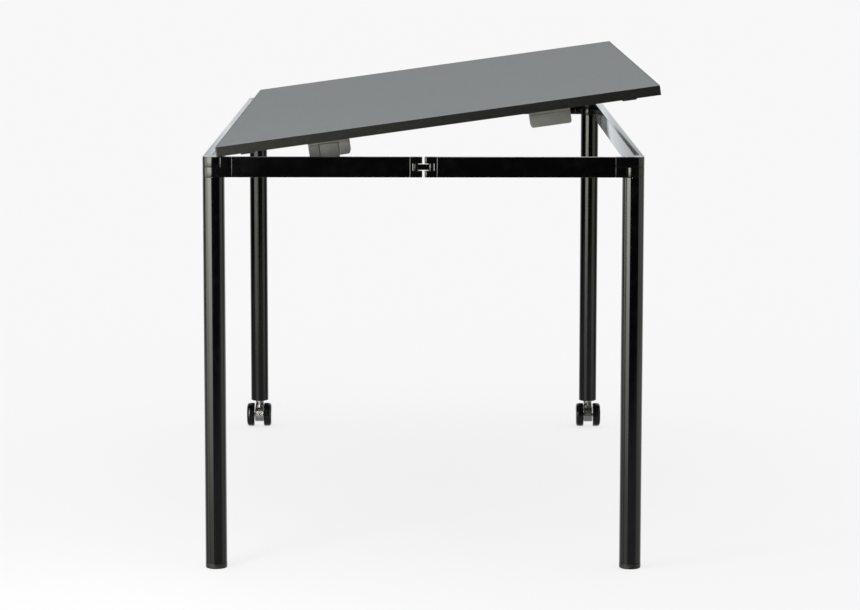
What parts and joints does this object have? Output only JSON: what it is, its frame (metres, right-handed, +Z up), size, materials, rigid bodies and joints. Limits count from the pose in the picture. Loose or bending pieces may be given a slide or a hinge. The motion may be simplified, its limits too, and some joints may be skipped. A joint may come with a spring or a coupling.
{
  "type": "drafting table",
  "caption": "Drafting table: a rectangular tilting top hinged along one long rail of a folding black frame, with glides under one end and casters under the other.",
  "frame": {"origin": "on the floor, under the middle of the object's own box at rest", "axes": "+Z up, +Y along the table from the glide end to the caster end, +X across it from the hinge side to the raised side"},
  "size_m": [0.775, 1.5, 0.8236],
  "materials": {
    "top_laminate": "satin anthracite laminate on a wood-based board",
    "edge_band": "smooth dark edge band",
    "pad_rubber": "soft matt",
    "grey_plastic": "warm grey, finely textured moulding",
    "glide_plastic": "satin black moulding",
    "wheel_plastic": "gloss black moulding",
    "caster_metal": "bright plated die casting",
    "bright_steel": "bright drawn steel",
    "leg_tube": "gloss black powder coat",
    "black_casting": "gloss black enamel on a die casting",
    "black_rail": "polished gloss black"
  },
  "bodies": {
    "left_frame": {"left_long_rail": "black_rail", "left_rail_casting_near": "black_casting", "left_rail_casting_far": "black_casting", "spindle_near_left": "bright_steel", "spindle_far_left": "bright_steel", "leg_near_left": "leg_tube", "leg_far_left": "leg_tube", "glide_near_left": "glide_plastic", "hinge_bracket_near": "bright_steel", "hinge_bracket_far": "bright_steel"},
    "right_frame": {"right_long_rail": "black_rail", "right_rail_casting_near": "black_casting", "right_rail_casting_far": "black_casting", "spindle_near_right": "bright_steel", "spindle_far_right": "bright_steel", "leg_near_right": "leg_tube", "leg_far_right": "leg_tube", "glide_near_right": "glide_plastic"},
    "near_left_half": {"end_casting_near_left": "black_casting", "end_rail_near_left": "black_rail", "middle_cap_near_left": "black_casting", "link_pin_near_left": "bright_steel"},
    "near_right_half": {"end_casting_near_right": "black_casting", "end_rail_near_right": "black_rail", "middle_cap_near_right": "black_casting", "link_pin_near_right": "bright_steel"},
    "near_link": {"link_near": "bright_steel"},
    "far_left_half": {"end_casting_far_left": "black_casting", "end_rail_far_left": "black_rail", "middle_cap_far_left": "black_casting", "link_pin_far_left": "bright_steel"},
    "far_right_half": {"end_casting_far_right": "black_casting", "end_rail_far_right": "black_rail", "middle_cap_far_right": "black_casting", "link_pin_far_right": "bright_steel"},
    "far_link": {"link_far": "bright_steel"},
    "top_carrier": {"hinge_arm_near": "bright_steel", "hinge_arm_far": "bright_steel"},
    "top": {"top_board": "top_laminate", "edge_band": "edge_band", "hinge_plate_near": "bright_steel", "hinge_plate_far": "bright_steel", "pad_near_left": "pad_rubber", "pad_near_right": "pad_rubber", "pad_far_left": "pad_rubber", "pad_far_right": "pad_rubber", "latch_block_near_left": "grey_plastic", "latch_block_far_left": "grey_plastic", "rest_block_near_right": "grey_plastic", "rest_block_far_right": "grey_plastic"},
    "latch_near": {"latch_near_left": "grey_plastic"},
    "latch_far": {"latch_far_left": "grey_plastic"},
    "caster_left": {"caster_left_bracket": "caster_metal", "caster_left_axle": "bright_steel"},
    "caster_left_left_wheel": {"caster_left_left_wheel": "wheel_plastic"},
    "caster_left_right_wheel": {"caster_left_right_wheel": "wheel_plastic"},
    "caster_right": {"caster_right_bracket": "caster_metal", "caster_right_axle": "bright_steel"},
    "caster_right_left_wheel": {"caster_right_left_wheel": "wheel_plastic"},
    "caster_right_right_wheel": {"caster_right_right_wheel": "wheel_plastic"}
  },
  "joints": [
    {"name": "frame_fold", "type": "hinge", "parent": "near_link", "child": "near_left_half", "pos_m": [-0.022, -0.7395, 0.686], "axis": [0, 0, 1], "range_deg": [0, 88]},
    {"name": "left_frame_turn", "type": "hinge", "parent": "near_left_half", "child": "left_frame", "pos_m": [-0.3615, -0.7285, 0.686], "axis": [0, 0, 1], "range_deg": [-88, 0]},
    {"name": "near_right_fold", "type": "hinge", "parent": "near_link", "child": "near_right_half", "pos_m": [0.004, -0.7395, 0.686], "axis": [0, 0, 1], "range_deg": [-88, 0]},
    {"name": "right_frame_turn", "type": "hinge", "parent": "near_right_half", "child": "right_frame", "pos_m": [0.3435, -0.7285, 0.686], "axis": [0, 0, 1], "range_deg": [0, 88]},
    {"name": "far_left_fold", "type": "hinge", "parent": "left_frame", "child": "far_left_half", "pos_m": [-0.3615, 0.7285, 0.686], "axis": [0, 0, 1], "range_deg": [-88, 0]},
    {"name": "far_link_turn", "type": "hinge", "parent": "far_left_half", "child": "far_link", "pos_m": [-0.022, 0.7395, 0.686], "axis": [0, 0, 1], "range_deg": [0, 88]},
    {"name": "far_right_fold", "type": "hinge", "parent": "right_frame", "child": "far_right_half", "pos_m": [0.3435, 0.7285, 0.686], "axis": [0, 0, 1], "range_deg": [0, 88]},
    {"name": "top_raise", "type": "hinge", "parent": "left_frame", "child": "top_carrier", "pos_m": [-0.3605, 0, 0.7035], "axis": [0, -1, 0], "range_deg": [0, 82]},
    {"name": "top_tilt", "type": "hinge", "parent": "top_carrier", "child": "top", "pos_m": [-0.33175, 0, 0.6946], "axis": [0, -1, 0], "range_deg": [-8, 0]},
    {"name": "caster_left_swivel", "type": "hinge", "parent": "left_frame", "child": "caster_left", "pos_m": [-0.3615, 0.7285, 0.05], "axis": [0, 0, 1], "continuous": true},
    {"name": "caster_left_left_wheel_spin", "type": "hinge", "parent": "caster_left", "child": "caster_left_left_wheel", "pos_m": [-0.3715, 0.7105, 0.025], "axis": [1, 0, 0], "continuous": true},
    {"name": "caster_left_right_wheel_spin", "type": "hinge", "parent": "caster_left", "child": "caster_left_right_wheel", "pos_m": [-0.3515, 0.7105, 0.025], "axis": [1, 0, 0], "continuous": true},
    {"name": "caster_right_swivel", "type": "hinge", "parent": "right_frame", "child": "caster_right", "pos_m": [0.3435, 0.7285, 0.05], "axis": [0, 0, 1], "continuous": true},
    {"name": "caster_right_left_wheel_spin", "type": "hinge", "parent": "caster_right", "child": "caster_right_left_wheel", "pos_m": [0.3335, 0.7105, 0.025], "axis": [1, 0, 0], "continuous": true},
    {"name": "caster_right_right_wheel_spin", "type": "hinge", "parent": "caster_right", "child": "caster_right_right_wheel", "pos_m": [0.3535, 0.7105, 0.025], "axis": [1, 0, 0], "continuous": true},
    {"name": "latch_near_press", "type": "slide", "parent": "top", "child": "latch_near", "axis": [0, 1, 0], "range_m": [0, 0.006], "stiffness_N_per_m": 500, "springref_m": -0.002},
    {"name": "latch_far_press", "type": "slide", "parent": "top", "child": "latch_far", "axis": [0, -1, 0], "range_m": [0, 0.006], "stiffness_N_per_m": 500, "springref_m": -0.002}
  ],
  "couplings": [
    {"joint": "left_frame_turn", "follows": "frame_fold", "ratio": -1},
    {"joint": "near_right_fold", "follows": "frame_fold", "ratio": -1},
    {"joint": "right_frame_turn", "follows": "frame_fold", "ratio": 1},
    {"joint": "far_left_fold", "follows": "frame_fold", "ratio": -1},
    {"joint": "far_link_turn", "follows": "frame_fold", "ratio": 1},
    {"joint": "far_right_fold", "follows": "frame_fold", "ratio": 1},
    {"joint": "top_raise", "follows": "frame_fold", "ratio": 0.93182}
  ]
}
